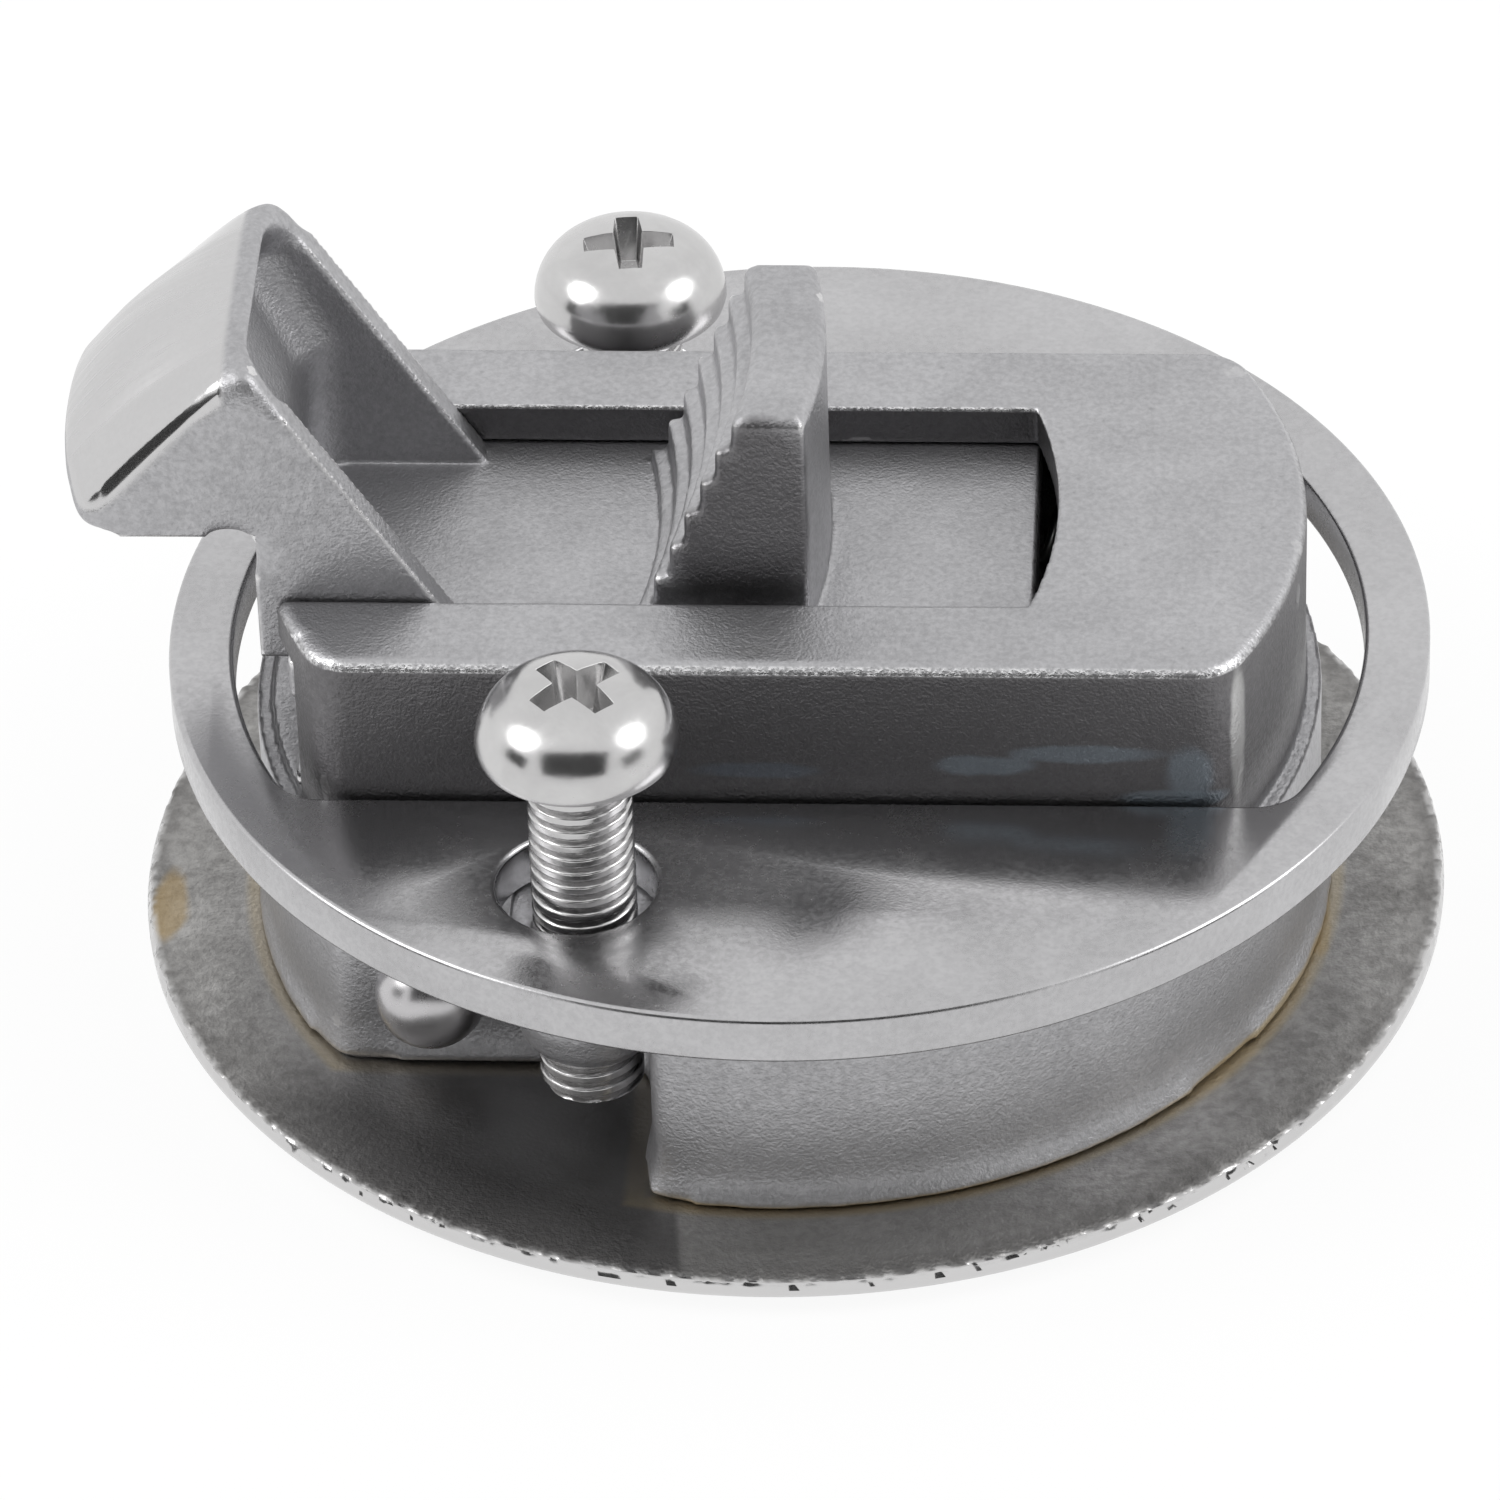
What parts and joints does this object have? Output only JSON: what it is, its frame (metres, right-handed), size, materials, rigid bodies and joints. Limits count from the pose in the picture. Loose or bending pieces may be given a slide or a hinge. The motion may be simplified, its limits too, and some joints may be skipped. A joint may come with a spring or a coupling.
{
  "type": "flush pull slam latch",
  "caption": "Round cast stainless flush pull slam latch: flanged drum, sprung slam bolt with thumb tab, pull handle, and a rear clamp ring on screws.",
  "frame": {"origin": "centre of the round hole in the door, in the plane of the flange's front face", "axes": "+Z from the front face to the inside of the door, the slam bolt points along -X, the handle's pivot pin lies along Y"},
  "size_m": [0.0652, 0.063, 0.0363],
  "materials": {
    "polished_flange": "polished front, rough cast back",
    "cast_body": "bead-blasted casting",
    "cast_bolt": "bead-blasted casting with a polished slam face",
    "spring_wire": "drawn wire",
    "polished_handle": "polished",
    "polished_pin": "polished dome",
    "satin_ring": "satin, semi-gloss",
    "screw_steel": "bright passivated"
  },
  "bodies": {
    "drum": {"bezel_flange": "polished_flange", "latch_body": "cast_body", "handle_pin": "polished_pin", "handle_spring": "spring_wire", "bolt_spring_front": "spring_wire", "bolt_spring_rear": "spring_wire"},
    "handle": {"pull_handle": "polished_handle"},
    "bolt": {"slide_bolt": "cast_bolt"},
    "ring": {"clamp_ring": "satin_ring"},
    "screw_front": {"clamp_screw_front": "screw_steel"},
    "screw_rear": {"clamp_screw_rear": "screw_steel"}
  },
  "joints": [
    {"name": "handle_lift", "type": "hinge", "parent": "drum", "child": "handle", "pos_m": [-0.0165, 0, 0.0055], "axis": [0, 1, 0], "range_deg": [0, 45], "stiffness_Nm_per_rad": 0.02, "springref_deg": -22.92, "deforming": ["handle_spring"]},
    {"name": "bolt_slide", "type": "slide", "parent": "drum", "child": "bolt", "axis": [1, 0, 0], "range_m": [0, 0.0088], "stiffness_N_per_m": 600, "springref_m": -0.01, "deforming": ["bolt_spring_front", "bolt_spring_rear"]},
    {"name": "ring_lift", "type": "slide", "parent": "drum", "child": "ring", "axis": [0, 0, 1], "range_m": [0, 0.005]},
    {"name": "screw_front_turn", "type": "hinge", "parent": "drum", "child": "screw_front", "pos_m": [-0.0085, -0.02, 0.0134], "axis": [0, 0, 1], "continuous": true},
    {"name": "screw_rear_turn", "type": "hinge", "parent": "drum", "child": "screw_rear", "pos_m": [-0.0085, 0.02, 0.0134], "axis": [0, 0, 1], "continuous": true}
  ],
  "couplings": [
    {"joint": "handle_lift", "follows": "bolt_slide", "rad_per_m": 89.25}
  ]
}
